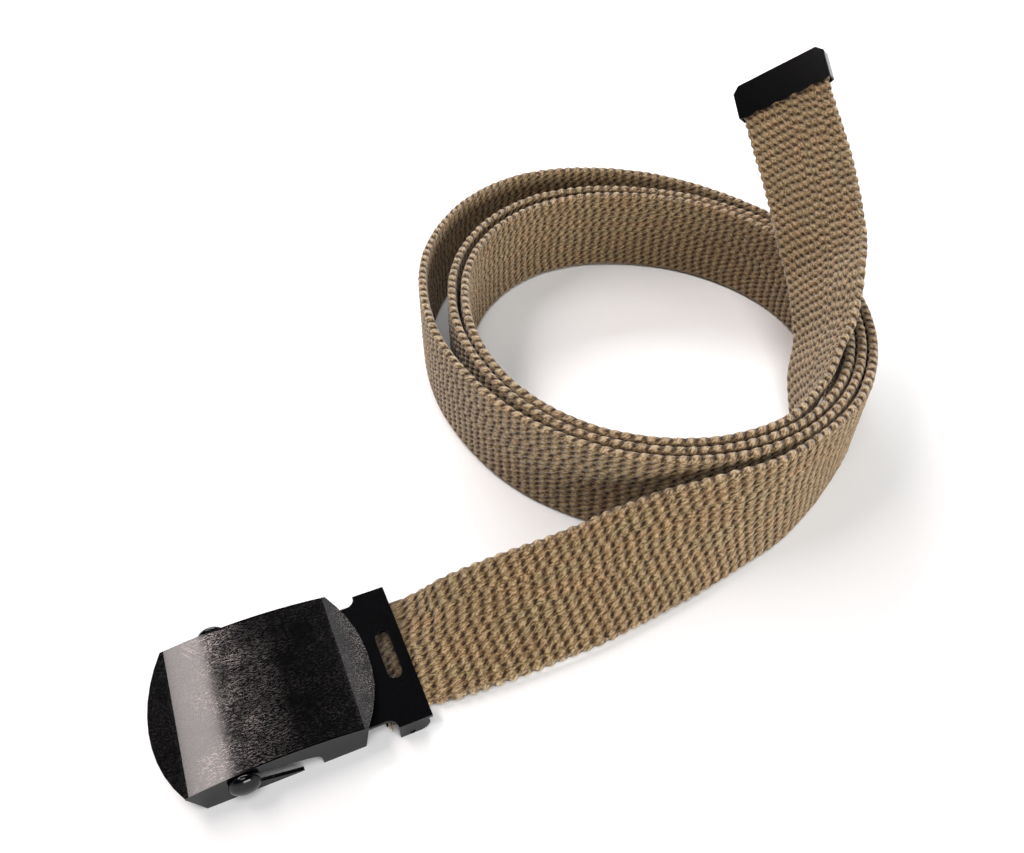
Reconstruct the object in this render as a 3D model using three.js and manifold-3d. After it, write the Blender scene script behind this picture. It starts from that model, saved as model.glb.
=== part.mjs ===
// A canvas web belt, coiled on a table, with a stamped roller buckle and a folded metal tip.
// Millimetres, +Z up. +X runs along the buckle, from its open end towards the coil.
import * as THREE from "three";
import { mergeVertices } from "three/addons/utils/BufferGeometryUtils.js";
import Module from "manifold-3d";

// Webbing
const webWidth = 32;
const webThickness = 3;
const webEdgeChamfer = 0.5;
const layerGap = 0.4;

// The coil, with the buckle's place beside it
const coilRadius = 60;
const coilTurns = 3;
const coilZeroTurn = -23.3;
const coilStart = -46;
const coilEnd = 1022;
const coilStationAngle = 15;
const buckleFromCoil = { x: -2.448, y: -1.26 };

// Buckle box
const boxLength = 42.4;
const boxWidth = 40;
const boxEdgeHeight = 8;
const boxArchRise = 2;
const boxSheet = 0.9;
const lipDepth = 5.9;
const lipBend = 16;
const wallInsetLeft = 3.2;
const wallInsetRight = 1.5;
const wallShoulderInset = 0.64;
const wallShoulderHeight = 6;

// Roller and its slots
const rollerBarRadius = 1.95;
const rollerKnobRadius = 3.65;
const rollerKnobRim = 1;
const rollerKnobDome = 1.3;
const rollerPlace = { x: -8.5, z: 6 };
const slotRun = 15.5;
const slotSlope = 14;
const slotMouth = 4.7;
const slotClearance = 0.35;
const knobClearance = 0.4;

// Clamp plate
const clampSheet = 0.9;
const clampTopHeight = 5.2;
const clampOffset = -1.1;
const clampWidth = 40.4;
const clampLength = 8.5;
const clampFromBox = 6.8;
const clampCornerRadius = 2.3;
const tongueWidth = 35;
const tongueInsideBox = 13;
const windowWidth = 3.7;
const windowLength = 14.6;
const windowFromClampEnd = 4.8;
const earBottomHeight = 0.1;
const webInsideClamp = 2.2;
const webSqueeze = 0.72;

// Clamp jaw
const jawPinRadius = 0.5;
const jawPinHeight = 1;
const jawPinFromClampEnd = 5.4;
const jawPinClearance = 0.2;
const jawSheet = 0.7;
const jawReach = 5.5;
const jawWidth = 33;
const jawTeeth = 9;
const jawToothWidth = 1.8;
const jawToothRise = 0.5;
const rivetRadius = 2.5;

// Belt tip
const tipLength = 13;
const tipSheet = 0.5;
const tipChamfer = 2.4;
const tipScallops = 5;
const tipScallopDepth = 0.7;

// Clearances between pieces that touch
const touch = 0.3;
const tipClearance = 0.35;

// Inner face of the innermost turn, and the slack that opens the turns outside it.
// Each row is an angle round the coil; the lengths are shares of coilRadius.
const coilForm = [
  { angle: 0, inner: 0.953, slackOuter: 0, slackMiddle: 0 },
  { angle: 30, inner: 0.957, slackOuter: 0.008, slackMiddle: 0 },
  { angle: 60, inner: 0.963, slackOuter: 0.053, slackMiddle: 0 },
  { angle: 90, inner: 0.988, slackOuter: 0.16, slackMiddle: 0.017 },
  { angle: 120, inner: 1.03, slackOuter: 0.215, slackMiddle: 0.034 },
  { angle: 150, inner: 0.992, slackOuter: 0.163, slackMiddle: 0.023 },
  { angle: 180, inner: 0.935, slackOuter: 0.095, slackMiddle: 0.014 },
  { angle: 210, inner: 0.942, slackOuter: 0.045, slackMiddle: 0.002 },
  { angle: 240, inner: 1.005, slackOuter: 0.01, slackMiddle: 0 },
  { angle: 270, inner: 1.056, slackOuter: 0, slackMiddle: 0 },
  { angle: 300, inner: 1.065, slackOuter: 0, slackMiddle: 0 },
  { angle: 330, inner: 1.008, slackOuter: 0, slackMiddle: 0 },
];

// The strip from the buckle to the coil: it lies nearly flat at the buckle and twists up on its edge.
// x and y are shares of coilRadius from the coil's centre, across is the heading of the belt's width
// in degrees, lean is how far that width has risen from the table.
const strip = [
  { x: -1.702, y: -1.304, across: 84, lean: 11 },
  { x: -1.604, y: -1.317, across: 86, lean: 18 },
  { x: -1.48, y: -1.336, across: 87, lean: 26 },
  { x: -1.355, y: -1.35, across: 90, lean: 32 },
  { x: -1.081, y: -1.361, across: 93, lean: 38 },
  { x: -0.776, y: -1.346, across: 96, lean: 44 },
  { x: -0.56, y: -1.348, across: 100, lean: 53 },
  { x: -0.305, y: -1.354, across: 105, lean: 68 },
  { x: -0.01, y: -1.335, across: 112, lean: 80 },
];

// The free end: it climbs out of the coil across the turns. z is a share of webWidth.
const tail = [
  { x: 0.425, y: -0.932, z: 0.53, across: -80, lean: 84 },
  { x: 0.645, y: -0.677, z: 0.7, across: -90, lean: 56 },
  { x: 0.78, y: -0.543, z: 0.835, across: -80, lean: 54 },
  { x: 0.886, y: -0.387, z: 0.995, across: -66, lean: 53 },
  { x: 1.01, y: -0.183, z: 1.128, across: -50, lean: 49 },
  { x: 1.085, y: 0.013, z: 1.297, across: -41, lean: 43.5 },
  { x: 1.16, y: 0.221, z: 1.48, across: -36, lean: 41 },
  { x: 1.216, y: 0.432, z: 1.69, across: -31, lean: 41 },
  { x: 1.255, y: 0.636, z: 1.91, across: -29, lean: 42 },
];
const tailEnd = { heading: 78, climb: 32.5 };

const wasm = await Module();
wasm.setup();

const degrees = Math.PI / 180;
const vec = (x, y, z) => new THREE.Vector3(x, y, z);

// Solid helpers

function toSolid(geometry) {
  const bare = geometry.clone();
  bare.deleteAttribute("normal");
  bare.deleteAttribute("uv");
  const merged = mergeVertices(bare, 1e-5);
  return new wasm.Manifold(new wasm.Mesh({
    numProp: 3,
    vertProperties: new Float32Array(merged.attributes.position.array),
    triVerts: new Uint32Array(merged.index.array),
  }));
}

function toGeometry(solid) {
  const mesh = solid.getMesh();
  const geometry = new THREE.BufferGeometry();
  geometry.setAttribute("position", new THREE.BufferAttribute(new Float32Array(mesh.vertProperties), 3));
  geometry.setIndex(new THREE.BufferAttribute(new Uint32Array(mesh.triVerts), 1));
  geometry.computeVertexNormals();
  return geometry;
}

// Extrudes an outline of [x, y] points between two heights along Z.
function prism(points, from, to, holes = []) {
  const shape = new THREE.Shape(points.map(([x, y]) => new THREE.Vector2(x, y)));
  shape.holes = holes.map((hole) => new THREE.Path(hole.map(([x, y]) => new THREE.Vector2(x, y))));
  const geometry = new THREE.ExtrudeGeometry(shape, { depth: to - from, bevelEnabled: false });
  return geometry.translate(0, 0, from);
}

// Extrudes a side view of [x, z] points between two places across the buckle, along Y.
function sidePrism(points, from, to, holes = []) {
  const geometry = prism(points, -to, -from, holes);
  return geometry.rotateX(Math.PI / 2);
}

function arc(cx, cy, radius, startDegrees, endDegrees, steps) {
  const points = [];
  for (let i = 0; i <= steps; i += 1) {
    const angle = (startDegrees + ((endDegrees - startDegrees) * i) / steps) * degrees;
    points.push([cx + radius * Math.cos(angle), cy + radius * Math.sin(angle)]);
  }
  return points;
}

// Round hole in a side view, as a ring of [x, z] points.
function roundHole(cx, cz, radius, sides) {
  return arc(cx, cz, radius, 360, 360 / sides, sides - 1);
}

function rod(radius, from, to, sides) {
  return new THREE.CylinderGeometry(radius, radius, to - from, sides).translate(0, (from + to) / 2, 0);
}

// Route of the webbing

const halfWeb = webWidth / 2;
const halfThickness = webThickness / 2;
const buckleCentre = vec(buckleFromCoil.x * coilRadius, buckleFromCoil.y * coilRadius, 0);
const clampStart = boxLength / 2 + clampFromBox;
const clampEnd = clampStart + clampLength;
const jawPinX = clampEnd - jawPinFromClampEnd;
const webHeightInClamp = clampTopHeight - clampSheet - touch - halfThickness * webSqueeze;

// A value of a periodic table at any angle, on a smooth curve through its rows.
function roundTable(column, angle) {
  const rows = coilForm.length;
  const place = (((angle % 360) + 360) % 360) / (360 / rows);
  const row = Math.floor(place);
  const share = place - row;
  const [a, b, c, d] = [-1, 0, 1, 2].map((k) => coilForm[(row + k + rows) % rows][column]);
  const slope = (c - a) / 2;
  const bend = a - 2.5 * b + 2 * c - 0.5 * d;
  const cubic = (d - a) / 2 + 1.5 * (b - c);
  return b + share * (slope + share * (bend + share * cubic));
}

// Radius of the belt's middle at an angle that counts on from turn to turn, the outer turn first.
function coilMiddleRadius(angle) {
  const pitch = webThickness + layerGap;
  const toGo = (360 * coilTurns - angle) / 360;
  let radius = roundTable("inner", angle) * coilRadius + pitch * toGo + halfThickness;
  if (angle < 360 * (coilTurns - 1)) {
    radius += Math.max(roundTable("slackMiddle", angle), 0) * coilRadius;
  }
  if (angle < 360 && angle > 0) {
    radius += Math.max(roundTable("slackOuter", angle), 0) * coilRadius;
  }
  return radius;
}

function acrossVector(heading, lean) {
  const flat = Math.cos(lean * degrees);
  return vec(flat * Math.cos(heading * degrees), flat * Math.sin(heading * degrees), Math.sin(lean * degrees));
}

function station(x, y, z, heading, lean, squeeze = 1) {
  return { place: vec(x, y, z), across: acrossVector(heading, lean), squeeze };
}

function clampStations() {
  const places = [-webInsideClamp, 0, clampLength / 2, clampLength, clampLength + touch];
  return places.map((along) => station(
    buckleCentre.x + clampStart + along,
    buckleCentre.y + clampOffset,
    webHeightInClamp,
    90,
    0,
    webSqueeze,
  ));
}

function stripStations() {
  return strip.map(({ x, y, across, lean }) => {
    const resting = halfWeb * Math.sin(lean * degrees) + halfThickness * Math.cos(lean * degrees);
    return station(x * coilRadius, y * coilRadius, resting, across, lean);
  });
}

function coilStations() {
  const list = [];
  const count = Math.round((coilEnd - coilStart) / coilStationAngle);
  for (let i = 0; i <= count; i += 1) {
    const angle = coilStart + ((coilEnd - coilStart) * i) / count;
    const radius = coilMiddleRadius(angle);
    const heading = (angle + coilZeroTurn) * degrees;
    list.push(station(radius * Math.cos(heading), radius * Math.sin(heading), halfWeb, 0, 90));
  }
  return list;
}

function tailStations() {
  const list = tail.map(({ x, y, z, across, lean }) => (
    station(x * coilRadius, y * coilRadius, z * webWidth, across, lean)
  ));
  const last = list[list.length - 1];
  const ahead = acrossVector(tailEnd.heading, tailEnd.climb);
  const straight = tipLength + webThickness;
  for (const share of [0.1, 0.55, 1]) {
    const place = last.place.clone().addScaledVector(ahead, straight * share);
    list.push({ place, across: last.across.clone(), squeeze: 1 });
  }
  return list;
}

const route = [...clampStations(), ...stripStations(), ...coilStations(), ...tailStations()];

// Frames along the route: the belt's middle, its width, its thickness and its way ahead.
// No frame sinks into the table.
function routeFrames(step) {
  const line = new THREE.CatmullRomCurve3(route.map((r) => r.place), false, "centripetal");
  const width = new THREE.CatmullRomCurve3(route.map((r) => r.across), false, "catmullrom", 0.5);
  const spans = route.length - 1;
  const frames = [];
  for (let span = 0; span < spans; span += 1) {
    const length = route[span].place.distanceTo(route[span + 1].place);
    const steps = Math.max(1, Math.round(length / step));
    const last = span === spans - 1 ? steps : steps - 1;
    for (let i = 0; i <= last; i += 1) {
      const at = (span + i / steps) / spans;
      const ahead = line.getTangent(at);
      const across = width.getPoint(at);
      across.addScaledVector(ahead, -across.dot(ahead)).normalize();
      const outward = ahead.clone().cross(across);
      const share = i / steps;
      const squeeze = route[span].squeeze * (1 - share) + route[span + 1].squeeze * share;
      const place = line.getPoint(at);
      const resting = halfWeb * Math.abs(across.z) + halfThickness * Math.abs(outward.z) * squeeze;
      place.z = Math.max(place.z, resting);
      frames.push({ place, ahead, across, outward, squeeze });
    }
  }
  return frames;
}

// One closed solid: the belt's section, with its corners cut, swept through the frames.
function webbingGeometry(frames) {
  const w = halfWeb;
  const t = halfThickness;
  const c = webEdgeChamfer;
  const leftEdge = [[-w, -t + c], [-w, t - c]];
  const rightEdge = [[w, t - c], [w, -t + c]];
  const section = [...leftEdge, [-w + c, t], [w - c, t], ...rightEdge, [w - c, -t], [-w + c, -t]];
  const corners = section.length;
  const positions = [];
  const index = [];
  for (const { place, across, outward, squeeze } of frames) {
    for (const [a, b] of section) {
      const p = place.clone().addScaledVector(across, a).addScaledVector(outward, b * squeeze);
      positions.push(p.x, p.y, p.z);
    }
  }
  for (let ring = 0; ring + 1 < frames.length; ring += 1) {
    for (let k = 0; k < corners; k += 1) {
      const a = ring * corners + k;
      const b = ring * corners + ((k + 1) % corners);
      index.push(a, a + corners, b, b, a + corners, b + corners);
    }
  }
  const end = (frames.length - 1) * corners;
  for (let k = 1; k + 1 < corners; k += 1) {
    index.push(0, k, k + 1);
    index.push(end, end + k + 1, end + k);
  }
  const geometry = new THREE.BufferGeometry();
  geometry.setAttribute("position", new THREE.Float32BufferAttribute(positions, 3));
  geometry.setIndex(index);
  geometry.computeVertexNormals();
  return geometry;
}

// Buckle box

const halfBox = boxLength / 2;

function archHeight(x, lowered) {
  return boxEdgeHeight + boxArchRise * (1 - (x / halfBox) ** 2) - lowered;
}

function archLine(lowered) {
  const steps = 10;
  return Array.from({ length: steps + 1 }, (_, i) => {
    const x = halfBox - (boxLength * i) / steps;
    return [x, archHeight(x, lowered)];
  });
}

function wallOutline() {
  const slotRadius = rollerBarRadius + slotClearance;
  const slope = Math.tan(slotSlope * degrees);
  const { x, z } = rollerPlace;
  const farX = x + slotRun;
  const farZ = z - slotRun * slope;
  const mouthEnd = farX + slotRadius;
  const fingerEnd = mouthEnd - slotMouth;
  const fingerTop = z - slotRadius / Math.cos(slotSlope * degrees) - (fingerEnd - x) * slope;
  return [
    [-halfBox + wallInsetLeft, 0],
    [fingerEnd, 0],
    [fingerEnd, fingerTop],
    ...arc(x, z, slotRadius, 270 - slotSlope, 90 - slotSlope, 6),
    ...arc(farX, farZ, slotRadius, 90 - slotSlope, 0, 4),
    [mouthEnd, 0],
    [halfBox - wallInsetRight, 0],
    ...archLine(boxSheet / 2),
    [-halfBox + wallShoulderInset, wallShoulderHeight],
  ];
}

// A lip of D shape: its chord is the box's end fold, its bow points away from the box.
function lipSolid(side) {
  const half = boxWidth / 2;
  const radius = (half ** 2 + lipDepth ** 2) / (2 * lipDepth);
  const sweep = Math.asin(half / radius) / degrees;
  const bow = arc(lipDepth - radius, 0, radius, -sweep, sweep, 10);
  const geometry = prism([[-boxSheet, -half], ...bow, [-boxSheet, half]], -boxSheet, 0);
  geometry.rotateY(lipBend * degrees);
  if (side < 0) {
    geometry.rotateZ(Math.PI);
  }
  return toSolid(geometry.translate(side * halfBox, 0, boxEdgeHeight));
}

function buckleBoxGeometry() {
  const half = boxWidth / 2;
  const face = [...archLine(0), ...archLine(boxSheet).reverse()];
  let solid = toSolid(sidePrism(face, -half, half));
  for (const from of [-half, half - boxSheet]) {
    solid = solid.add(toSolid(sidePrism(wallOutline(), from, from + boxSheet)));
  }
  for (const side of [-1, 1]) {
    solid = solid.add(lipSolid(side));
  }
  return toGeometry(solid);
}

// Roller

function rollerGeometry() {
  const rim = boxWidth / 2 + knobClearance;
  const shoulder = rim + rollerKnobRim;
  const top = shoulder + rollerKnobDome;
  const half = [
    [rollerBarRadius, rim],
    [rollerKnobRadius, rim],
    [rollerKnobRadius, shoulder],
    [rollerKnobRadius * 0.8, shoulder + rollerKnobDome * 0.6],
    [rollerKnobRadius * 0.42, shoulder + rollerKnobDome * 0.92],
    [0, top],
  ];
  const profile = [...half.map(([r, y]) => [r, -y]).reverse(), ...half];
  return new THREE.LatheGeometry(profile.map(([r, y]) => new THREE.Vector2(r, y)), 16);
}

// Clamp plate

function clampSideCut(side) {
  const tongue = (side * tongueWidth) / 2;
  const outside = side * clampWidth;
  const r = clampCornerRadius;
  const corner = arc(clampStart - r, tongue + side * r, r, side * -90, 0, 5);
  return toSolid(prism([[0, tongue], ...corner, [clampStart, outside], [0, outside]], 0, clampTopHeight * 2));
}

function stadium(cx, width, length) {
  const r = width / 2;
  const reach = length / 2 - r;
  return [...arc(cx, reach, r, 0, 180, 6), ...arc(cx, -reach, r, 180, 360, 6)];
}

function earOutline() {
  const low = earBottomHeight;
  const top = clampTopHeight - clampSheet / 2;
  const rounding = [[0.62, 0], [0.78, 0.12], [0.88, 0.36], [0.91, 0.62], [0.87, 0.86], [0.8, 1]];
  const round = rounding.map(([along, up]) => [clampStart + clampLength * along, low + (top - low) * up]);
  return [[clampStart, low], ...round, [clampStart, top]];
}

function clampPlateGeometry() {
  const half = clampWidth / 2;
  const inside = halfBox - tongueInsideBox;
  const low = clampTopHeight - clampSheet;
  const blank = [[inside, -half], [clampEnd, -half], [clampEnd, half], [inside, half]];
  let solid = toSolid(prism(blank, low, clampTopHeight));
  for (const side of [-1, 1]) {
    solid = solid.subtract(clampSideCut(side));
  }
  const window = stadium(clampEnd - windowFromClampEnd, windowWidth, windowLength);
  solid = solid.subtract(toSolid(prism(window, 0, clampTopHeight * 2)));
  const pinHole = roundHole(jawPinX, jawPinHeight, jawPinRadius + jawPinClearance, 12);
  for (const from of [-half, half - clampSheet]) {
    solid = solid.add(toSolid(sidePrism(earOutline(), from, from + clampSheet, [pinHole])));
  }
  return toGeometry(solid);
}

// Clamp jaw, drawn round its pin

function clampJawGeometry() {
  const pinEnd = clampWidth / 2 - touch / 2;
  const half = jawWidth / 2;
  const handle = [[0, -jawPinRadius], [0, jawSheet - jawPinRadius], [-jawReach, jawSheet - jawPinRadius],
    [-jawReach, -jawPinRadius]];
  let solid = toSolid(rod(jawPinRadius, -pinEnd, pinEnd, 12));
  solid = solid.add(toSolid(sidePrism(handle, -half, half)));
  const tooth = [[-jawToothRise * 3, 0], [-jawToothRise, 0], [-jawToothRise * 1.6, jawToothRise]];
  const spacing = jawWidth / jawTeeth;
  for (let i = 0; i < jawTeeth; i += 1) {
    const middle = -half + spacing * (i + 0.5);
    solid = solid.add(toSolid(sidePrism(tooth, middle - jawToothWidth / 2, middle + jawToothWidth / 2)));
  }
  return toGeometry(solid);
}

// Hidden rivet between the box's face and the tongue

const rivetX = halfBox - tongueInsideBox / 2;

function rivetGeometry() {
  const low = clampTopHeight + touch;
  const high = archHeight(rivetX + rivetRadius, boxSheet) - touch;
  return rod(rivetRadius, low, high, 16).rotateX(Math.PI / 2);
}

// Belt tip, drawn with its closed end on the X axis and its mouth towards -Y

function closedEnd(half, end) {
  const shoulder = end - tipChamfer;
  return [[half, shoulder], [half - tipChamfer, end], [-half + tipChamfer, end], [-half, shoulder]];
}

function tipGeometry() {
  const half = halfWeb + tipClearance + tipSheet;
  const thick = halfThickness + tipClearance + tipSheet;
  const pocket = halfWeb + tipClearance;
  const pocketThick = halfThickness + tipClearance;
  const scallop = (2 * half) / tipScallops;
  const mouth = [];
  for (let i = 0; i < tipScallops; i += 1) {
    const x = -half + scallop * i;
    mouth.push([x, -tipLength + tipScallopDepth]);
    mouth.push([x + scallop * 0.25, -tipLength + tipScallopDepth * 0.2]);
    mouth.push([x + scallop * 0.5, -tipLength]);
    mouth.push([x + scallop * 0.75, -tipLength + tipScallopDepth * 0.2]);
  }
  mouth.push([half, -tipLength + tipScallopDepth]);
  const outer = [...mouth, ...closedEnd(half, 0)];
  const inner = [[-pocket, -tipLength * 2], [pocket, -tipLength * 2], ...closedEnd(pocket, -tipSheet)];
  const shell = toSolid(prism(outer, -thick, thick));
  return toGeometry(shell.subtract(toSolid(prism(inner, -pocketThick, pocketThick))));
}

// Assembly

function finish(color, roughness, metalness) {
  return new THREE.MeshStandardMaterial({ color, roughness, metalness });
}

function addPiece(parent, name, geometry, material) {
  const mesh = new THREE.Mesh(geometry, material);
  mesh.name = name;
  parent.add(mesh);
  return mesh;
}

const belt = new THREE.Group();
const frames = routeFrames(6);
addPiece(belt, "webbing", webbingGeometry(frames), finish(0xa89878, 0.95, 0));

const buckle = new THREE.Group();
buckle.position.copy(buckleCentre);
belt.add(buckle);
addPiece(buckle, "buckle_box", buckleBoxGeometry(), finish(0x1b1b20, 0.35, 0.8));
const roller = addPiece(buckle, "roller", rollerGeometry(), finish(0x222226, 0.25, 0.9));
roller.position.set(rollerPlace.x, 0, rollerPlace.z);
const clamp = addPiece(buckle, "clamp_plate", clampPlateGeometry(), finish(0x17171c, 0.4, 0.8));
clamp.position.set(0, clampOffset, 0);
const jaw = addPiece(buckle, "clamp_jaw", clampJawGeometry(), finish(0x202024, 0.4, 0.8));
jaw.position.set(jawPinX, clampOffset, jawPinHeight);
const rivet = addPiece(buckle, "clamp_rivet", rivetGeometry(), finish(0x202024, 0.4, 0.8));
rivet.position.set(rivetX, 0, 0);

const lastFrame = frames[frames.length - 1];
const tip = addPiece(belt, "belt_tip", tipGeometry(), finish(0x141416, 0.45, 0.8));
const facing = lastFrame.across.clone().cross(lastFrame.ahead);
const tipAxes = new THREE.Matrix4().makeBasis(lastFrame.across, lastFrame.ahead, facing);
tip.quaternion.setFromRotationMatrix(tipAxes);
const beyond = tipSheet + tipChamfer;
tip.position.copy(lastFrame.place).addScaledVector(lastFrame.ahead, beyond);

// The origin is the bottom centre of the whole belt's box.
belt.updateMatrixWorld(true);
const box = new THREE.Box3().setFromObject(belt, true);
belt.position.set(-(box.min.x + box.max.x) / 2, -(box.min.y + box.max.y) / 2, -box.min.z);

export default belt;
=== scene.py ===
# %% [markdown]
# # A coiled canvas web belt
#
# A web belt is one length of thick woven cotton with a stamped steel buckle clamped on one end and a folded
# metal tip on the other. Here it lies coiled on its edge. The CAD model gives every size and every place;
# this scene adds what CAD leaves out: the weave, the edges that catch light, the finishes and the studio.
# Lengths are in millimetres while a shape is worked out, and in metres in the mesh.

import math

import bmesh
import bpy
import numpy as np
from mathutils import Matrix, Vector


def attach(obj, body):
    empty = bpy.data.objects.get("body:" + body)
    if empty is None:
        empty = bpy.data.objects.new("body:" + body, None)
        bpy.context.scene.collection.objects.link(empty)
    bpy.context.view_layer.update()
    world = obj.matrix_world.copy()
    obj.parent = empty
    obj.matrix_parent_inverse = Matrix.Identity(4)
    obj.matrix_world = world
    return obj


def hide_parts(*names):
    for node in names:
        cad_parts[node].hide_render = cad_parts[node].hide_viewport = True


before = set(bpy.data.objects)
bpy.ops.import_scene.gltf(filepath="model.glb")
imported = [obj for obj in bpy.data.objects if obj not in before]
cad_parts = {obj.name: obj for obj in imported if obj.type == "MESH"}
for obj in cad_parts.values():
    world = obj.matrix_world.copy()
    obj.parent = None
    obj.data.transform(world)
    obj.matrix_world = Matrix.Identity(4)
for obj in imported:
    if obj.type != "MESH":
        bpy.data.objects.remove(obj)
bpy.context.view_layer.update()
MM = 0.001
print("nodes:", sorted(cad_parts))

# %% [markdown]
# ## The route of the belt
#
# The webbing starts flat in the clamp, twists up on its edge, runs three turns round and climbs out of the
# coil. The same short tables as in the CAD model describe it: places as shares of the coil's radius, the
# heading of the belt's width and how far that width has risen from the table. A smooth curve runs through
# the rows, so the woven mesh can be laid along it exactly where the CAD solid lies.

# %% Tables of the route
WEB_WIDTH = 32.0
WEB_THICKNESS = 3.0
COIL_RADIUS = 60.0
COIL_PITCH = 3.4
COIL_TURNS = 3
COIL_ANGLES = (-46.0, 1022.0)
COIL_ZERO = -23.3
COIL_STATION = 15.0
COIL_CENTRE = Vector((41.5905, 4.9271, 0.0))
BUCKLE_FROM_COIL = (-2.448, -1.26)
CLAMP_START = 28.0
CLAMP_OFFSET = -1.1
CLAMPED_HEIGHT = 2.92
CLAMPED_SQUEEZE = 0.72
TAIL_HEADING = 78.0
TAIL_CLIMB = 32.5
TAIL_STRAIGHT = 16.0

COIL_INNER = (0.953, 0.957, 0.963, 0.988, 1.03, 0.992, 0.935, 0.942, 1.005, 1.056, 1.065, 1.008)
SLACK_OUTER = (0, 0.008, 0.053, 0.16, 0.215, 0.163, 0.095, 0.045, 0.01, 0, 0, 0)
SLACK_MIDDLE = (0, 0, 0, 0.017, 0.034, 0.023, 0.014, 0.002, 0, 0, 0, 0)
STRIP = (
    (-1.702, -1.304, 84, 11), (-1.604, -1.317, 86, 18), (-1.48, -1.336, 87, 26),
    (-1.355, -1.35, 90, 32), (-1.081, -1.361, 93, 38), (-0.776, -1.346, 96, 44),
    (-0.56, -1.348, 100, 53), (-0.305, -1.354, 105, 68), (-0.01, -1.335, 112, 80),
)
TAIL = (
    (0.425, -0.932, 0.53, -80, 84), (0.645, -0.677, 0.7, -90, 56), (0.78, -0.543, 0.835, -80, 54),
    (0.886, -0.387, 0.995, -66, 53), (1.01, -0.183, 1.128, -50, 49), (1.085, 0.013, 1.297, -41, 43.5),
    (1.16, 0.221, 1.48, -36, 41), (1.216, 0.432, 1.69, -31, 41), (1.255, 0.636, 1.91, -29, 42),
)


# %% Stations: where the belt passes, and which way its width points
def round_table(column, angle):
    place = (angle % 360) / 360 * len(column)
    row, share = int(place), place % 1
    a, b, c, d = (column[(row + k) % len(column)] for k in (-1, 0, 1, 2))
    bend = a - 2.5 * b + 2 * c - 0.5 * d
    return b + share * ((c - a) / 2 + share * (bend + share * ((d - a) / 2 + 1.5 * (b - c))))


def coil_radius(angle):
    radius = round_table(COIL_INNER, angle) * COIL_RADIUS + WEB_THICKNESS / 2
    radius += COIL_PITCH * (360 * COIL_TURNS - angle) / 360
    if angle < 360 * (COIL_TURNS - 1):
        radius += max(round_table(SLACK_MIDDLE, angle), 0) * COIL_RADIUS
    if 0 < angle < 360:
        radius += max(round_table(SLACK_OUTER, angle), 0) * COIL_RADIUS
    return radius


def across_vector(heading, lean):
    h, l = math.radians(heading), math.radians(lean)
    return (math.cos(l) * math.cos(h), math.cos(l) * math.sin(h), math.sin(l))


def belt_stations():
    places, widths, squeezes = [], [], []

    def add(x, y, z, heading, lean, squeeze=1.0):
        places.append((x, y, z))
        widths.append(across_vector(heading, lean))
        squeezes.append(squeeze)

    buckle_x, buckle_y = (share * COIL_RADIUS for share in BUCKLE_FROM_COIL)
    for along in (-2.2, 0, 4.25, 8.5, 8.8):
        add(buckle_x + CLAMP_START + along, buckle_y + CLAMP_OFFSET, CLAMPED_HEIGHT, 90, 0, CLAMPED_SQUEEZE)
    for x, y, heading, lean in STRIP:
        width = across_vector(heading, lean)
        resting = WEB_WIDTH / 2 * width[2] + WEB_THICKNESS / 2 * math.cos(math.radians(lean))
        add(x * COIL_RADIUS, y * COIL_RADIUS, resting, heading, lean)
    first, last = COIL_ANGLES
    count = round((last - first) / COIL_STATION)
    for i in range(count + 1):
        angle = first + (last - first) * i / count
        heading = math.radians(angle + COIL_ZERO)
        radius = coil_radius(angle)
        add(radius * math.cos(heading), radius * math.sin(heading), WEB_WIDTH / 2, 0, 90)
    for x, y, z, heading, lean in TAIL:
        add(x * COIL_RADIUS, y * COIL_RADIUS, z * WEB_WIDTH, heading, lean)
    end, ahead = np.array(places[-1]), np.array(across_vector(TAIL_HEADING, TAIL_CLIMB))
    for share in (0.1, 0.55, 1):
        add(*(end + ahead * TAIL_STRAIGHT * share), *TAIL[-1][3:])
    return np.array(places), np.array(widths), np.array(squeezes)


# %% Frames: smooth curves through the stations, finely stepped
def through(points, knots):
    """Cubic through the middle two of four points, for knot gaps that come from their distances."""
    p0, p1, p2, p3 = points
    d0, d1, d2 = knots
    t1 = ((p1 - p0) / d0 - (p2 - p0) / (d0 + d1) + (p2 - p1) / d1) * d1
    t2 = ((p2 - p1) / d1 - (p3 - p1) / (d1 + d2) + (p3 - p2) / d2) * d1
    return p1, t1, -3 * p1 + 3 * p2 - 2 * t1 - t2, 2 * p1 - 2 * p2 + t1 + t2


def with_ends(rows):
    return np.vstack([2 * rows[0] - rows[1], rows, 2 * rows[-1] - rows[-2]])


def unit(rows):
    return rows / np.linalg.norm(rows, axis=1)[:, None]


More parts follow.
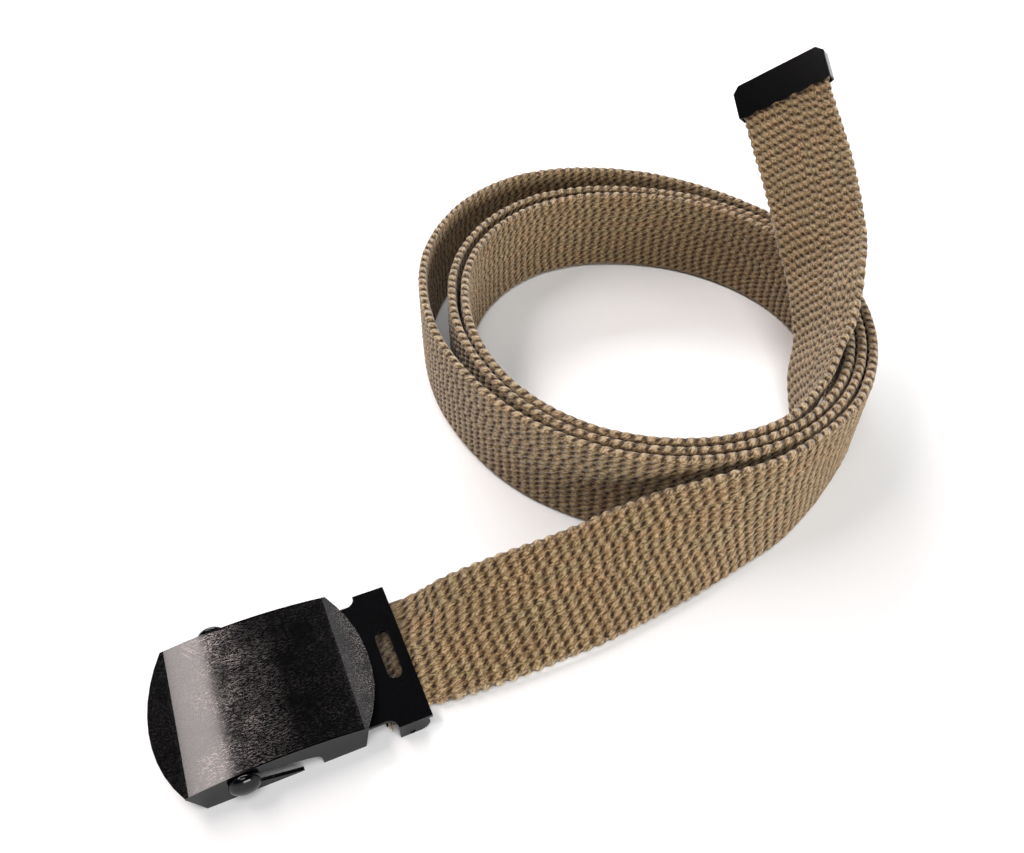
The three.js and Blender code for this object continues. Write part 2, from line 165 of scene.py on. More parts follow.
def belt_route(step):
    places, widths, squeezes = belt_stations()
    places, widths = with_ends(places), with_ends(widths)
    rows = []
    for i in range(len(squeezes) - 1):
        four = places[i:i + 4]
        knots = [np.linalg.norm(b - a) ** 0.5 for a, b in zip(four, four[1:])]
        count = max(2, round(knots[1] ** 2 / step))
        s = np.linspace(0, 1, count, endpoint=False)[:, None]
        a, b, c, d = through(four, knots)
        e, f, g, h = through(widths[i:i + 4], (1, 1, 1))
        squeeze = squeezes[i] * (1 - s) + squeezes[i + 1] * s
        place = a + s * (b + s * (c + s * d))
        ahead = b + s * (2 * c + s * 3 * d)
        across = e + s * (f + s * (g + s * h))
        rows.append(np.hstack([place, ahead, across, squeeze]))
    rows = np.vstack(rows)
    place, ahead, across, squeeze = rows[:, :3], unit(rows[:, 3:6]), rows[:, 6:9], rows[:, 9]
    across = unit(across - ahead * (across * ahead).sum(1)[:, None])
    outward = np.cross(ahead, across)
    resting = WEB_WIDTH / 2 * abs(across[:, 2]) + WEB_THICKNESS / 2 * abs(outward[:, 2]) * squeeze
    place[:, 2] = np.maximum(place[:, 2], resting)
    along = np.concatenate([[0], np.cumsum(np.linalg.norm(np.diff(place, axis=0), axis=1))])
    return {"place": place + np.array(COIL_CENTRE), "across": across, "outward": outward,
            "squeeze": squeeze, "along": along}


route = belt_route(step=0.5)
belt_length = route["along"][-1]
print(f"belt: {belt_length:.0f} mm long, {len(route['along'])} frames")

# %% [markdown]
# ## Colours and nodes
#
# Colours are written as the hex values that a colour picker shows. A shader works in linear light, so one
# function turns them. A second one adds a node, sets it and links it, which keeps each material short enough
# to be read from top to bottom.


# %% Helpers for materials
def linear(hex_colour):
    parts = [int(hex_colour[i:i + 2], 16) / 255 for i in (1, 3, 5)]
    return (*[p / 12.92 if p <= 0.04045 else ((p + 0.055) / 1.055) ** 2.4 for p in parts], 1.0)


def add_node(material, kind, inputs=None, **settings):
    made = material.node_tree.nodes.new(kind)
    for name, value in settings.items():
        setattr(made, name, value)
    for socket, value in (inputs or {}).items():
        if isinstance(value, bpy.types.NodeSocket):
            material.node_tree.links.new(value, made.inputs[socket])
        else:
            made.inputs[socket].default_value = value
    return made


def maths(material):
    """A short way to add math nodes to one material: the kind, then its numbers or sockets."""
    def math_node(kind, *values):
        return add_node(material, "ShaderNodeMath", dict(enumerate(values)), operation=kind).outputs[0]
    return math_node


def new_material(name):
    material = bpy.data.materials.new(name)
    material.use_nodes = True
    return material, material.node_tree.nodes["Principled BSDF"]


# %% [markdown]
# ## The weave
#
# Belt webbing is woven from thick cotton yarn. On each face a yarn shows as a row of small pebbles, one every
# 3.45 mm, with a deep diagonal pit between two of them, and fourteen such rows lie side by side over the
# width. A picture of a weave could be laid on a flat strip, but a flat strip has a straight edge and real
# pits swallow light from every side. So the pebbles are in the mesh, and the material adds the twist of the
# yarn and a painted shade in the pits. One formula, in pebbles along and rows round the belt, serves both.

# %% Height of a pebble and depth of a pit, each from 0 to 1
PEBBLE_PITCH = 3.45
FACE_ROWS = 14
ROWS_ROUND = 2 * (FACE_ROWS + 1)
PIT_SLANT = 0.34
PEBBLE_RISE = 0.34
PIT_DEPTH = 0.4
SELVAGE_RISE = 0.36
SELVAGE_PIT_DEPTH = 0.25
SWELL_POWER = 0.7
CROWN_POWER = 0.6
PIT_POWER = 2.2
PEBBLE_EDGE = 0.3
CROSSING_FILL = 0.24


def weave_height(pebbles, rows):
    in_row = rows % 1 - 0.5
    crown = np.cos(np.pi * in_row) ** 2
    swell = 0.5 + 0.5 * np.cos(2 * np.pi * (pebbles - PIT_SLANT * in_row))
    round_top = PEBBLE_EDGE + (1 - PEBBLE_EDGE) * crown ** CROWN_POWER
    pebble = swell ** SWELL_POWER * round_top + CROSSING_FILL * (1 - swell) * (1 - crown)
    pit = (1 - swell) ** PIT_POWER * crown ** CROWN_POWER
    return pebble, pit


# %% [markdown]
# ## Laying the cloth
#
# The webbing is cut as a flat grid, one side along the belt and the other once round its section: face,
# selvage, back, selvage. Each point keeps its place in the weave as UV coordinates, is lifted by the weave's
# height and is then carried to its place on the route. A cloth simulation could coil a strip as well, but
# thick webbing hardly sags, and its coil is known. The belt is made in five lengths, so that each stays light
# enough to be used alone; they share their end rings.

# %% Section of the webbing
FACE_STEPS = FACE_ROWS * 5
EDGE_STEPS = 5
SECTION_STEPS = 2 * (FACE_STEPS + EDGE_STEPS)
HALF_WIDTH = 15.6
HALF_THICKNESS = 1.24
EDGE_ROUND = 1.1


def section_point(step):
    """Place across and out, the way out there, and the row of the weave, round the section."""
    half = SECTION_STEPS // 2
    side = 1 if step % SECTION_STEPS < half else -1
    k = step % half
    flat = HALF_WIDTH - EDGE_ROUND
    if k <= FACE_STEPS:
        share = k / FACE_STEPS
        place = (-flat + 2 * flat * share, HALF_THICKNESS)
        away = (0.0, 1.0)
        row = FACE_ROWS * share
    else:
        share = (k - FACE_STEPS) / EDGE_STEPS
        turn = math.pi * (0.5 - share)
        away = (math.cos(turn), math.sin(turn))
        place = (flat + EDGE_ROUND * away[0], HALF_THICKNESS * away[1])
        row = FACE_ROWS + share
    row += 0 if side > 0 else FACE_ROWS + 1
    return [side * place[0], side * place[1], side * away[0], side * away[1], row]


section = np.array([section_point(k) for k in range(SECTION_STEPS)] + [section_point(0)])
section[-1, 4] = ROWS_ROUND
PEBBLE_SPREAD = 0.16
EDGE_SPREAD = 0.2
ROW_SPREAD = 0.08
chance = np.random.default_rng(7)
pebble_count = int(belt_length / PEBBLE_PITCH) + 3
pebble_size = 1 + PEBBLE_SPREAD * chance.standard_normal((pebble_count, ROWS_ROUND + 1))
pebble_size[:, FACE_ROWS::FACE_ROWS + 1] += EDGE_SPREAD * chance.standard_normal((pebble_count, 2))
row_shift = ROW_SPREAD * chance.standard_normal(ROWS_ROUND + 1)
print(f"section: {SECTION_STEPS} steps, {pebble_count} pebbles a row, {ROWS_ROUND} rows round")


# %% One length of woven belt
STEPS_PER_PEBBLE = 5


def drift(along, rows, period, size, seed):
    """A slow, smooth wander of the yarns along and across the belt."""
    a, b = 2 * np.pi * along / period, 2 * np.pi * rows / ROWS_ROUND
    return size * (np.sin(a + 3 * b + seed) + 0.6 * np.sin(2.3 * a - 2 * b + 2 * seed))


def woven_length(name, start, end):
    steps = round((end - start) / PEBBLE_PITCH * STEPS_PER_PEBBLE)
    bm = bmesh.new()
    uv_layer = bm.loops.layers.uv.new("weave")
    bmesh.ops.create_grid(bm, x_segments=steps, y_segments=SECTION_STEPS, size=0.5, calc_uvs=True)
    cloth = bpy.data.meshes.new(name)
    bm.to_mesh(cloth)
    bm.free()

    flat = np.empty(len(cloth.vertices) * 3)
    cloth.vertices.foreach_get("co", flat)
    flat = flat.reshape(-1, 3)
    along = start + (flat[:, 0] + 0.5) * (end - start)
    step = np.rint((flat[:, 1] + 0.5) * SECTION_STEPS).astype(int)
    a, b, away_a, away_b, rows = section[step].T
    edge = (rows % (FACE_ROWS + 1)) > FACE_ROWS
    pebbles = along / PEBBLE_PITCH + drift(along, rows, 61.0, 0.05, 1.0) + row_shift[rows.astype(int)]
    wave = drift(along, rows, 37.0, 0.04, 2.0)

    pebble, pit = weave_height(pebbles, rows)
    sizes = pebble_size[np.rint(pebbles).astype(int) % pebble_count, rows.astype(int)]
    rise = np.where(edge, SELVAGE_RISE * (pebble - PEBBLE_EDGE), PEBBLE_RISE * pebble)
    lift = rise * sizes - np.where(edge, SELVAGE_PIT_DEPTH, PIT_DEPTH) * pit + wave

    def at(values):
        if values.ndim == 1:
            return np.interp(along, route["along"], values)
        return np.stack([np.interp(along, route["along"], v) for v in values.T], axis=1)

    squeeze = at(route["squeeze"])
    a = a + away_a * lift
    b = (b + away_b * lift) * squeeze
    laid = at(route["place"]) + at(route["across"]) * a[:, None] + at(route["outward"]) * b[:, None]
    cloth.vertices.foreach_set("co", (laid * MM).ravel())

    corners = np.empty(len(cloth.loops), int)
    cloth.loops.foreach_get("vertex_index", corners)
    weave_uv = np.stack([pebbles[corners], rows[corners]], axis=1)
    cloth.uv_layers["weave"].data.foreach_set("uv", weave_uv.ravel())

    bm = bmesh.new()
    bm.from_mesh(cloth)
    bmesh.ops.remove_doubles(bm, verts=bm.verts, dist=0.01 * MM)
    bmesh.ops.holes_fill(bm, edges=[e for e in bm.edges if e.is_boundary], sides=0)
    bmesh.ops.recalc_face_normals(bm, faces=bm.faces)
    for face in bm.faces:
        face.smooth = len(face.verts) < 5
    bm.to_mesh(cloth)
    bm.free()
    piece = bpy.data.objects.new(name, cloth)
    bpy.context.scene.collection.objects.link(piece)
    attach(piece, "belt")
    print(f"{name}: {(end - start):.0f} mm, {len(cloth.polygons)} faces")
    return piece


# %% The five lengths
LENGTH_NAMES = (
    "webbing_strip", "webbing_outer_turn", "webbing_middle_turn", "webbing_inner_turn", "webbing_tail",
)
marks = [belt_length * i / len(LENGTH_NAMES) for i in range(len(LENGTH_NAMES) + 1)]
webbing = [woven_length(n, a, b) for n, a, b in zip(LENGTH_NAMES, marks, marks[1:])]
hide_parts("webbing")
for piece, a, b in zip(webbing, marks, marks[1:]):
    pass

# %% [markdown]
# ## Frayed yarns
#
# Where the webbing is cut and clamped, some yarns have worked loose and stick out of the clamp's near notch.
# Each is a thin tapered tube that bends away from the cut edge. They belong to the cloth, so they go into the
# mesh of its first length, with a place in the weave that gives them the colour of the selvage: paler yarn
# with a painted rim highlight.

# %% Loose ends in the clamp's notch
YARN_SIDES = 6
YARN_STEPS = 7
YARN_ROOT = Vector((-79.0, -86.6, 2.6))
YARN_RADIUS = 0.26
YARN_TAPER = 0.6
YARN_WEAVE_PLACE = (7.9, FACE_ROWS + 0.5)
LOOSE_YARNS = 9


def loose_yarn(bm, uv_layer, root, heading, length, bend, climb):
    rings, place = [], Vector(root)
    for k in range(YARN_STEPS + 1):
        share = k / YARN_STEPS
        turn = math.radians(heading + bend * share)
        ahead = Vector((math.cos(turn), math.sin(turn), climb * (1 - 2 * share))).normalized()
        side = ahead.cross(Vector((0, 0, 1))).normalized()
        above = side.cross(ahead)
        radius = YARN_RADIUS * (1 - YARN_TAPER * share)
        ring = []
        for j in range(YARN_SIDES):
            round_it = 2 * math.pi * j / YARN_SIDES
            away = side * math.cos(round_it) + above * math.sin(round_it)
            ring.append(bm.verts.new((place + radius * away) * MM))
        rings.append(ring)
        place = place + ahead * length / YARN_STEPS
    made = [bm.faces.new(rings[0]), bm.faces.new(rings[-1])]
    for a, b in zip(rings, rings[1:]):
        for j in range(YARN_SIDES):
            made.append(bm.faces.new((a[j], a[j - 1], b[j - 1], b[j])))
    for face in made:
        face.smooth = True
        for corner in face.loops:
            corner[uv_layer].uv = YARN_WEAVE_PLACE
    bmesh.ops.recalc_face_normals(bm, faces=made)


def fray(piece):
    bm = bmesh.new()
    bm.from_mesh(piece.data)
    uv_layer = bm.loops.layers.uv["weave"]
    for k in range(LOOSE_YARNS):
        root = YARN_ROOT + Vector((0.55 * k, -0.12 * (k % 3), 0.2 * (k % 2)))
        loose_yarn(bm, uv_layer, root, chance.uniform(-115, -70), chance.uniform(3.2, 5.0),
                   chance.uniform(-40, 50), chance.uniform(-0.1, 0.35))
    bm.to_mesh(piece.data)
    bm.free()
    print("loose yarns:", LOOSE_YARNS)


fray(webbing[0])

# %% [markdown]
# ## Cotton canvas
#
# Cotton webbing dyed khaki: spun yarn, matt, with short fibres that catch light at the rim of each
# pebble. A fabric has no gloss, so the roughness is high and a little sheen stands for the fibres. The pits
# are drawn darker than the light alone would make them, a painted shade for the shadow inside them, and each
# pebble gets a slightly different shade, because yarn is never evenly dyed.

# %% Canvas material
YARN_TWIST = 0.55
# How far the clamp reaches along the belt, and the painted shade that darkens the webbing under it.
CLAMPED_PEBBLES = 2.9
CLAMPED_SHADE = 0.3
PATCH_ALONG = 0.12
PATCH_ROUND = 0.35
# The selvage: paler cream yarn, brightened further by a painted rim highlight, and a little greyer.
SELVAGE_PALER_AND_HIGHLIT = 0.22
SELVAGE_GREYER = 0.12


def canvas_material():
    material, shader = new_material("khaki cotton webbing")
    math_node = maths(material)
    uv = add_node(material, "ShaderNodeUVMap", uv_map="weave").outputs["UV"]
    split = add_node(material, "ShaderNodeSeparateXYZ", {0: uv})
    pebbles, rows = split.outputs["X"], split.outputs["Y"]
    in_row = math_node("SUBTRACT", math_node("FRACT", rows), 0.5)
    slanted = math_node("SUBTRACT", pebbles, math_node("MULTIPLY", in_row, PIT_SLANT))
    wave = math_node("COSINE", math_node("MULTIPLY", slanted, 2 * math.pi))
    swell = math_node("MULTIPLY_ADD", wave, 0.5, 0.5)
    crown = math_node("POWER", math_node("COSINE", math_node("MULTIPLY", in_row, math.pi)), 2.0)
    hollow = math_node("SUBTRACT", 1.0, swell)
    crossing = math_node("MULTIPLY", hollow, math_node("SUBTRACT", 1.0, crown))
    flat_crown = math_node("POWER", crown, CROWN_POWER)
    round_top = math_node("MULTIPLY_ADD", flat_crown, 1 - PEBBLE_EDGE, PEBBLE_EDGE)
    pebble = math_node("MULTIPLY", math_node("POWER", swell, SWELL_POWER), round_top)
    cloth = math_node("MULTIPLY_ADD", crossing, CROSSING_FILL, pebble)
    pit = math_node("MULTIPLY", math_node("POWER", hollow, PIT_POWER), flat_crown)
    cloth = math_node("SUBTRACT", cloth, pit)

    # The yarn's twist: fine strands, half a millimetre apart, that lie aslant on each pebble.
    strand_place = add_node(material, "ShaderNodeCombineXYZ", {
        "X": math_node("MULTIPLY", slanted, PEBBLE_PITCH * 0.7),
        "Y": math_node("MULTIPLY_ADD", slanted, -0.9, math_node("MULTIPLY", rows, 2.2)),
    }).outputs[0]
    strands = add_node(material, "ShaderNodeTexNoise", {
        "Vector": strand_place, "Scale": 1 / YARN_TWIST, "Detail": 3.0, "Roughness": 0.6,
    }).outputs["Fac"]

    # One shade for each pebble, and slow patches of redder and greener yarn, some centimetres long.
    cell = add_node(material, "ShaderNodeCombineXYZ", {
        "X": math_node("ROUND", slanted), "Y": math_node("FLOOR", rows),
    }).outputs[0]
    each = add_node(material, "ShaderNodeTexWhiteNoise", {
        "Vector": cell,
    }, noise_dimensions="2D").outputs["Value"]
    patch_place = add_node(material, "ShaderNodeCombineXYZ", {
        "X": math_node("MULTIPLY", pebbles, PATCH_ALONG), "Y": math_node("MULTIPLY", rows, PATCH_ROUND),
    }).outputs[0]
    patches = add_node(material, "ShaderNodeTexNoise", {
        "Vector": patch_place, "Scale": 1.6, "Detail": 2.0,
    }).outputs["Fac"]

    # The ramp paints the low places of the weave dark: a painted shade on top of the shadow that the mesh's
    # pits cast.
    depth = math_node("MULTIPLY_ADD", cloth, 0.46, math_node("MULTIPLY_ADD", strands, 2.8, -1.06))
    yarn_with_pit_shade = add_node(material, "ShaderNodeValToRGB", {"Fac": depth})
    ramp = yarn_with_pit_shade.color_ramp
    ramp.elements[0].position, ramp.elements[0].color = 0.0, linear("#2c1902")
    ramp.elements[1].position, ramp.elements[1].color = 0.95, linear("#a69273")
    middle = ramp.elements.new(0.45)
    middle.color = linear("#6a5436")
    warm = add_node(material, "ShaderNodeValToRGB", {"Fac": patches})
    warm.color_ramp.elements[0].position, warm.color_ramp.elements[0].color = 0.35, linear("#f5f7ef")
    warm.color_ramp.elements[1].position, warm.color_ramp.elements[1].color = 0.68, linear("#fff2e8")
    tinted = add_node(material, "ShaderNodeMix", {
        "Factor": 1.0, 6: yarn_with_pit_shade.outputs["Color"], 7: warm.outputs["Color"],
    }, data_type="RGBA", blend_type="MULTIPLY").outputs[2]
    # The selvage's loops are paler yarn with a painted rim highlight, and under the clamp the webbing gets a
    # painted shade for the clamp's shadow.
    place_round = math_node("MODULO", rows, FACE_ROWS + 1.0)
    selvage = add_node(material, "ShaderNodeMapRange", {
        "Value": place_round, "From Min": FACE_ROWS - 0.3, "From Max": FACE_ROWS + 0.2,
    }).outputs["Result"]
    painted_clamp_shade = add_node(material, "ShaderNodeMapRange", {
        "Value": pebbles, "From Min": CLAMPED_PEBBLES, "From Max": CLAMPED_PEBBLES + 0.5,
        "To Min": CLAMPED_SHADE,
    }).outputs["Result"]
    # Each pebble's own tone, times the painted shade under the clamp.
    tone_and_clamp_shade = math_node("MULTIPLY", math_node("MULTIPLY_ADD", each, 0.2, 0.9), painted_clamp_shade)
    colour = add_node(material, "ShaderNodeHueSaturation", {
        "Color": tinted,
        "Value": math_node("MULTIPLY", tone_and_clamp_shade, math_node("MULTIPLY_ADD", selvage, SELVAGE_PALER_AND_HIGHLIT, 1.0)),
        "Saturation": math_node("MULTIPLY_ADD", selvage, -SELVAGE_GREYER, 1.0),
    }).outputs["Color"]

    height = math_node("MULTIPLY_ADD", strands, 1.2, cloth)
    bump = add_node(material, "ShaderNodeBump", {"Height": height, "Strength": 0.7, "Distance": 0.35 * MM})
    material.node_tree.links.new(colour, shader.inputs["Base Color"])
    material.node_tree.links.new(bump.outputs["Normal"], shader.inputs["Normal"])
    shader.inputs["Roughness"].default_value = 0.92
    shader.inputs["Specular IOR Level"].default_value = 0.2
    shader.inputs["Sheen Weight"].default_value = 0.28
    shader.inputs["Sheen Roughness"].default_value = 0.5
    return material


canvas = canvas_material()
for piece in webbing:
    piece.data.materials.clear()
    piece.data.materials.append(canvas)
print("canvas on", len(webbing), "lengths")

# %% [markdown]
# ## Metal pieces with real edges
#
# The buckle's box, the clamp, its jaw and the tip are stamped from sheet. The CAD solids have knife edges,
# and a knife edge never catches light. Each piece is therefore a copy of its solid, merged, cleaned and then
# bevelled by a tenth of a millimetre or so, which is what tumbling and lacquer leave on stamped steel.


# %% A copy of a CAD node with rounded edges
SHARP_EDGE = math.radians(28.0)
SHARP_SHADING = math.radians(50)


def rounded_copy(node, name, body, width):
    bm = bmesh.new()
    bm.from_mesh(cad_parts[node].data)
    bmesh.ops.remove_doubles(bm, verts=bm.verts, dist=0.002 * MM)
    bmesh.ops.dissolve_limit(bm, angle_limit=math.radians(0.3), verts=bm.verts, edges=bm.edges)
    bmesh.ops.recalc_face_normals(bm, faces=bm.faces)
    edges = [e for e in bm.edges if len(e.link_faces) == 2 and e.calc_face_angle() > SHARP_EDGE]
    bmesh.ops.bevel(bm, geom=edges, offset=width * MM, offset_type="OFFSET", affect="EDGES", segments=2,
                    profile=0.5, material=-1, clamp_overlap=True)
    for face in bm.faces:
        face.smooth = True
    mesh = bpy.data.meshes.new(name)
    bm.to_mesh(mesh)
    bm.free()
    mesh.set_sharp_from_angle(angle=SHARP_SHADING)
    piece = bpy.data.objects.new(name, mesh)
    even = piece.modifiers.new("flat faces stay flat", "WEIGHTED_NORMAL")
    even.weight, even.keep_sharp = 100, True
    bpy.context.scene.collection.objects.link(piece)
    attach(piece, body)
    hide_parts(node)
    print(f"{name}: {len(mesh.polygons)} faces")
    return piece


box_shell = rounded_copy("buckle_box", "buckle_shell", "belt", 0.18)
clamp = rounded_copy("clamp_plate", "clamp_stamping", "belt", 0.15)
jaw = rounded_copy("clamp_jaw", "jaw_stamping", "jaw", 0.08)
rivet = rounded_copy("clamp_rivet", "rivet_turned", "belt", 0.1)
tip = rounded_copy("belt_tip", "tip_folded", "belt", 0.14)

# %% [markdown]
# ## The roller
#
# The roller is turned on a lathe: a plain bar with a domed knob on each end. Its half outline is therefore
# spun, as a lathe would, in many more steps than the CAD solid has, because a dome mirrors the lamps and
# every facet would show.

# %% Spin the roller
BUCKLE_CENTRE = Vector((*[share * COIL_RADIUS for share in BUCKLE_FROM_COIL], 0)) + COIL_CENTRE
ROLLER_CENTRE = BUCKLE_CENTRE + Vector((-8.5, 0, 6.0))
KNOB_PROFILE = (
    (0, 22.7), (0.8, 22.66), (1.6, 22.53), (2.3, 22.3), (2.9, 21.98), (3.35, 21.6), (3.6, 21.2),
    (3.65, 20.9), (3.65, 20.62), (3.52, 20.45), (3.3, 20.4), (2.15, 20.4), (1.95, 20.2), (1.95, 0),
)


def spun_roller():
    bm = bmesh.new()
    line = list(KNOB_PROFILE) + [(r, -y) for r, y in reversed(KNOB_PROFILE[:-1])]
    verts = [bm.verts.new(Vector((r, y, 0)) * MM) for r, y in line]
    edges = [bm.edges.new(pair) for pair in zip(verts, verts[1:])]
    bmesh.ops.spin(bm, geom=verts + edges, cent=(0, 0, 0), axis=(0, 1, 0), angle=2 * math.pi, steps=48,
                   use_merge=True)
    bmesh.ops.remove_doubles(bm, verts=bm.verts, dist=0.005 * MM)
    bmesh.ops.recalc_face_normals(bm, faces=bm.faces)
    bmesh.ops.translate(bm, verts=bm.verts, vec=ROLLER_CENTRE * MM)
    for face in bm.faces:
        face.smooth = True
    mesh = bpy.data.meshes.new("roller_turned")
    bm.to_mesh(mesh)
    bm.free()
    mesh.set_sharp_from_angle(angle=SHARP_SHADING)
    piece = bpy.data.objects.new("roller_turned", mesh)
    bpy.context.scene.collection.objects.link(piece)
    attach(piece, "roller")
    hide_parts("roller")
    print(f"roller: {len(mesh.polygons)} faces")
    return piece


roller = spun_roller()

# %% [markdown]
# ## Black lacquer and enamel on steel
#
# The buckle is steel, stamped, polished and lacquered in gloss black. The lacquer is a clear hard skin over
# black, so it mirrors only about a fortieth of the light: most of the face looks almost black, and a bright
# lamp still shows in it. Wear shows as small specks, a haze of hair scratches about a millimetre long and a
# few longer ones. The clamp and the tip have a black enamel with a fine grain and much the same gloss.


# %% Materials for the metal pieces
MASK_EDGE = 0.06


def object_place(material, turn=0.0, stretch=(1, 1, 1)):
    place = add_node(material, "ShaderNodeTexCoord").outputs["Object"]
    return add_node(material, "ShaderNodeMapping", {
        "Vector": place, "Rotation": (0, 0, math.radians(turn)), "Scale": stretch,
    }).outputs[0]


def peaks(material, place, detail, keep):
    """What stands above a level in a noise, as a mask from 0 to 1."""
    grain = add_node(material, "ShaderNodeTexNoise", {
        "Vector": place, "Scale": 1000.0, "Detail": detail, "Roughness": 0.5,
    }).outputs["Fac"]
    return add_node(material, "ShaderNodeMapRange", {
        "Value": grain, "From Min": keep, "From Max": keep + MASK_EDGE,
    }).outputs["Result"]


# Direction in degrees, width and length in millimetres, and the level that a scratch stands above. Real hair
# scratches are finer, and would vanish between two pixels.
HAIR_SCRATCHES = ((15, 0.2, 1.3, 0.62), (-35, 0.17, 0.9, 0.63), (80, 0.2, 1.1, 0.63), (48, 0.16, 2.6, 0.67))

# Longer ones near the two left corners: middle x and y, direction, half length and half width.
LONG_SCRATCHES = (
    (-119.4, -53.9, -52, 4.2, 0.1), (-118.4, -54.3, -48, 3.6, 0.12), (-120.4, -54.7, -55, 2.6, 0.09),
    (-120.6, -85.6, 20, 1.6, 0.14), (-119.8, -84.0, -70, 1.2, 0.12),
)
# Where the specks gather: the fold's place along the face and the distances over which their painted
# highlight fades, the lip by the clamp, and how far from the middle the face ends, so that the side walls
# stay clean.
FOLD_PLACE = -113.0
FOLD_FADE = (3.0, 14.0)
LIP_FADE = (-86.2, -80.5)
FACE_HALF_WIDTH = 19.6


def long_scratch(material, x, y, turn, half_length, half_width):
    place = add_node(material, "ShaderNodeTexCoord").outputs["Object"]
    line = add_node(material, "ShaderNodeMapping", {
        "Vector": place, "Location": (x * MM, y * MM, 0), "Rotation": (0, 0, math.radians(turn)),
    }, vector_type="TEXTURE").outputs[0]
    split = add_node(material, "ShaderNodeSeparateXYZ", {0: line})
    math_node = maths(material)
    masks = []
    for axis, half in (("X", half_length * MM), ("Y", half_width * MM)):
        gone = math_node("ABSOLUTE", split.outputs[axis])
        masks.append(add_node(material, "ShaderNodeMapRange", {
            "Value": gone, "From Min": half * 0.5, "From Max": half, "To Min": 0.8, "To Max": 0.0,
        }).outputs["Result"])
    return math_node("MULTIPLY", *masks)


def gloss_lacquer():
    material, shader = new_material("gloss black lacquer on steel")
    math_node = maths(material)
    marks = peaks(material, object_place(material, 0, (5.5, 5.5, 5.5)), 2.0, 0.595)
    for turn, width, length, keep in HAIR_SCRATCHES:
        hair_place = object_place(material, turn, (1 / length, 1 / width, 1 / width))
        marks = math_node("MAXIMUM", marks, peaks(material, hair_place, 1.0, keep))
    # Hands rub some places more than others, so the haze of scratches comes and goes over centimetres. By the
    # fold the specks are packed as a painted highlight, for scratches that catch the mirrored panel's light,
    # and they grow denser along the lip towards the clamp.
    rubbed = add_node(material, "ShaderNodeTexNoise", {
        "Vector": object_place(material), "Scale": 110.0, "Detail": 3.0, "Roughness": 0.6,
    }).outputs["Fac"]
    haze = add_node(material, "ShaderNodeMapRange", {
        "Value": rubbed, "From Min": 0.36, "From Max": 0.62, "To Min": 0.3, "To Max": 1.0,
    }).outputs["Result"]
    along_face = add_node(material, "ShaderNodeSeparateXYZ", {0: object_place(material)}).outputs["X"]
    from_fold = math_node("ABSOLUTE", math_node("SUBTRACT", along_face, FOLD_PLACE * MM))
    packed_by_highlit_fold = add_node(material, "ShaderNodeMapRange", {
        "Value": from_fold, "From Min": FOLD_FADE[0] * MM, "From Max": FOLD_FADE[1] * MM,
        "To Min": 1.0, "To Max": 0.1,
    }).outputs["Result"]
    on_the_lip = add_node(material, "ShaderNodeMapRange", {
        "Value": along_face, "From Min": LIP_FADE[0] * MM, "From Max": LIP_FADE[1] * MM,
        "To Min": 0.0, "To Max": 1.2,
    }).outputs["Result"]
    across_face = add_node(material, "ShaderNodeSeparateXYZ", {0: object_place(material)}).outputs["Y"]
    from_middle = math_node("ABSOLUTE", math_node("SUBTRACT", across_face, BUCKLE_CENTRE.y * MM))
    off_the_walls = math_node("LESS_THAN", from_middle, FACE_HALF_WIDTH * MM)
    wear_and_highlight_density = math_node("MULTIPLY", math_node("MAXIMUM", packed_by_highlit_fold, on_the_lip), off_the_walls)
    worn_and_highlit = math_node("MULTIPLY", marks, math_node("MULTIPLY", haze, wear_and_highlight_density))
    for line in LONG_SCRATCHES:
        worn_and_highlit = math_node("MAXIMUM", worn_and_highlit, long_scratch(material, *line))
    # The specks are bare grey steel; packing them by the fold is a painted highlight where scratches catch
    # the mirrored panel.
    colour = add_node(material, "ShaderNodeMix", {
        "Factor": worn_and_highlit, 6: linear("#030304"), 7: linear("#7a7472"),
    }, data_type="RGBA")
    bare = math_node("MULTIPLY", worn_and_highlit, 0.7)
    dull = math_node("MULTIPLY_ADD", worn_and_highlit, 0.24, 0.12)
    material.node_tree.links.new(colour.outputs[2], shader.inputs["Base Color"])
    material.node_tree.links.new(dull, shader.inputs["Roughness"])
    material.node_tree.links.new(bare, shader.inputs["Metallic"])
    shader.inputs["Specular IOR Level"].default_value = 0.3
    return material


def satin_enamel(name, colour_low, colour_high, gloss):
    material, shader = new_material(name)
    grain = add_node(material, "ShaderNodeTexNoise", {
        "Vector": object_place(material), "Scale": 1200.0, "Detail": 4.0, "Roughness": 0.6,
    }).outputs["Fac"]
    colour = add_node(material, "ShaderNodeMix", {
        "Factor": grain, 6: linear(colour_low), 7: linear(colour_high),
    }, data_type="RGBA")
    dull = add_node(material, "ShaderNodeMapRange", {
        "Value": grain, "To Min": gloss - 0.04, "To Max": gloss + 0.06,
    }).outputs["Result"]
    bump = add_node(material, "ShaderNodeBump", {"Height": grain, "Strength": 0.3, "Distance": 0.01 * MM})
    material.node_tree.links.new(colour.outputs[2], shader.inputs["Base Color"])
    material.node_tree.links.new(dull, shader.inputs["Roughness"])
    material.node_tree.links.new(bump.outputs["Normal"], shader.inputs["Normal"])
    shader.inputs["Specular IOR Level"].default_value = 0.3
    return material


def wear(piece, material):
    piece.data.materials.clear()
    piece.data.materials.append(material)


lacquer = gloss_lacquer()
clamp_enamel = satin_enamel("satin black enamel, clamp", "#030304", "#070709", 0.14)
tip_enamel = satin_enamel("satin black enamel, tip", "#020203", "#060607", 0.14)
wear(box_shell, lacquer)
wear(roller, lacquer)
wear(clamp, clamp_enamel)
wear(jaw, clamp_enamel)
wear(rivet, clamp_enamel)
wear(tip, tip_enamel)
print("finishes:", [m.name for m in (canvas, lacquer, clamp_enamel, tip_enamel)])

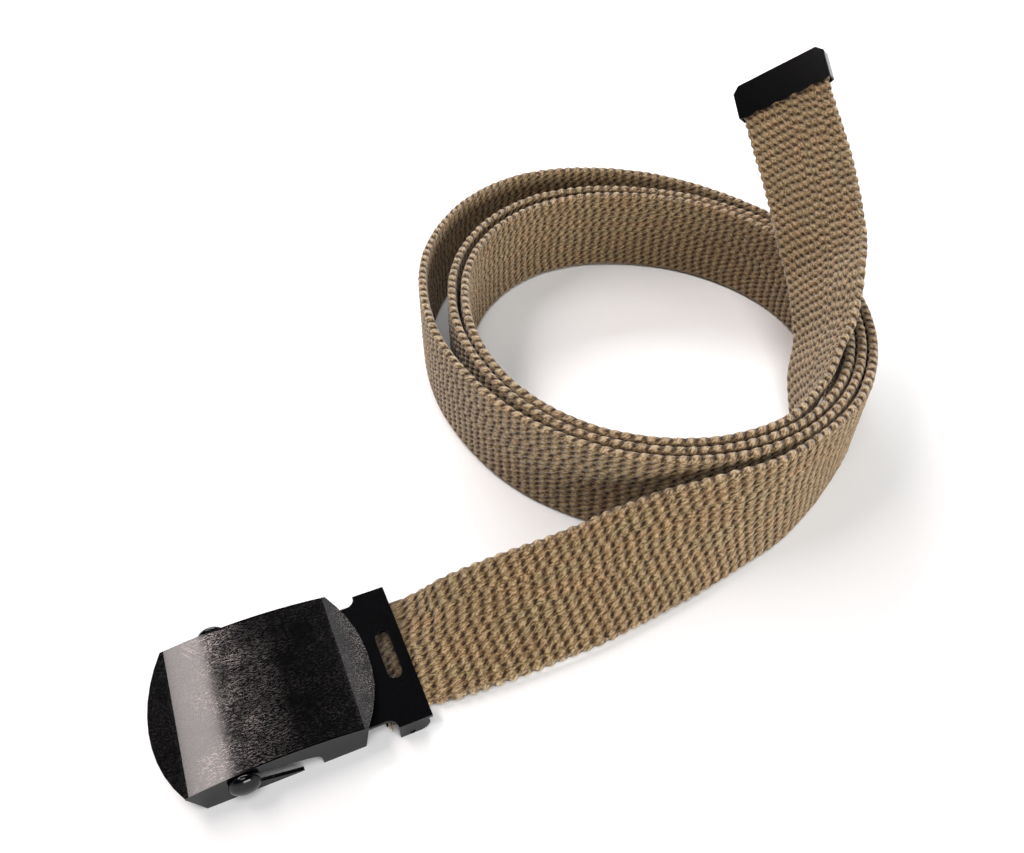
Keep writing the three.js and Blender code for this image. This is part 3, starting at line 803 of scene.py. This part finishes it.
# %% [markdown]
# ## The studio
#
# A pale floor and room, large soft lamps and the camera at the angle of a catalogue shot, some 45 degrees
# above the belt. The buckle's face is a mirror, so it shows whatever is above and behind it: a long bright
# panel to the left behind lights just its left part, and a small one to the right catches the lip by the
# clamp. Three more panels light the cloth from the back, the front and above.


# %% Floor
def studio_floor():
    bm = bmesh.new()
    bmesh.ops.create_grid(bm, x_segments=1, y_segments=1, size=3.0)
    mesh = bpy.data.meshes.new("studio_floor")
    bm.to_mesh(mesh)
    bm.free()
    floor = bpy.data.objects.new("studio_floor", mesh)
    bpy.context.scene.collection.objects.link(floor)
    material, shader = new_material("matt white paper")
    shader.inputs["Base Color"].default_value = linear("#f6f6f6")
    shader.inputs["Roughness"].default_value = 1.0
    shader.inputs["Specular IOR Level"].default_value = 0.0
    mesh.materials.append(material)
    print("floor:", floor.name)


studio_floor()


# %% Lamps
def panel(name, place, target, size, power, colour="#ffffff"):
    lamp = bpy.data.lights.new(name, "AREA")
    lamp.shape = "RECTANGLE"
    lamp.size, lamp.size_y = size
    lamp.energy = power
    lamp.color = linear(colour)[:3]
    holder = bpy.data.objects.new(name, lamp)
    holder.location = place
    aim = Vector(target) - Vector(place)
    holder.rotation_euler = aim.to_track_quat("-Z", "Y").to_euler()
    bpy.context.scene.collection.objects.link(holder)
    return holder


# Name, place, what it faces, width and height in metres, and watts. The first has a warm tint as well.
LAMPS = (
    ("mirror_panel", (-0.64, 0.95, 1.2), (-0.64, 0.95, 0), (0.30, 1.5), 19.8, "#fff4f2"),
    ("lip_panel", (0.38, 0.506, 0.8), (0.38, 0.506, 0), (0.2, 0.4), 0.6),
    ("back_panel", (0.1, 1.25, 0.72), (0, 0, 0), (1.0, 0.3), 20.0),
    ("front_panel", (0.3, -1.35, 0.36), (0, 0, 0), (0.9, 0.4), 18.0),
    ("top_panel", (-0.1, -0.45, 1.25), (0, 0, 0), (0.7, 0.5), 7.0),
)
for row in LAMPS:
    panel(*row)
room = bpy.data.worlds.new("studio")
room.use_nodes = True
# The studio's walls are pale low down and dark above, where they would show in the buckle's face.
room_place = add_node(room, "ShaderNodeTexCoord").outputs["Generated"]
room_height = add_node(room, "ShaderNodeSeparateXYZ", {0: room_place}).outputs["Z"]
room_light = add_node(room, "ShaderNodeMapRange", {
    "Value": room_height, "From Min": 0.2, "From Max": 0.45, "To Min": 0.9, "To Max": 0.05,
}).outputs["Result"]
room.node_tree.links.new(room_light, room.node_tree.nodes["Background"].inputs["Strength"])
room.node_tree.nodes["Background"].inputs["Color"].default_value = linear("#ffffff")
bpy.context.scene.world = room
bpy.context.scene.view_settings.view_transform = "Standard"

# %% Camera
FOCAL_LENGTH = 31.64
SENSOR_WIDTH = 36.0
CAMERA_PLACE = Vector((-0.0928, -0.1959, 0.2072))
CAMERA_TARGET = Vector((-0.0103, -0.0043, 0.0001))
lens = bpy.data.cameras.new("photo_camera")
lens.lens = FOCAL_LENGTH
lens.sensor_width = SENSOR_WIDTH
lens.clip_start = 0.01
camera = bpy.data.objects.new("photo_camera", lens)
camera.location = CAMERA_PLACE
camera.rotation_euler = (CAMERA_TARGET - CAMERA_PLACE).to_track_quat("-Z", "Y").to_euler()
bpy.context.scene.collection.objects.link(camera)
bpy.context.scene.camera = camera
print("camera looks down by", round(90 - math.degrees(camera.rotation_euler.x), 1), "degrees")
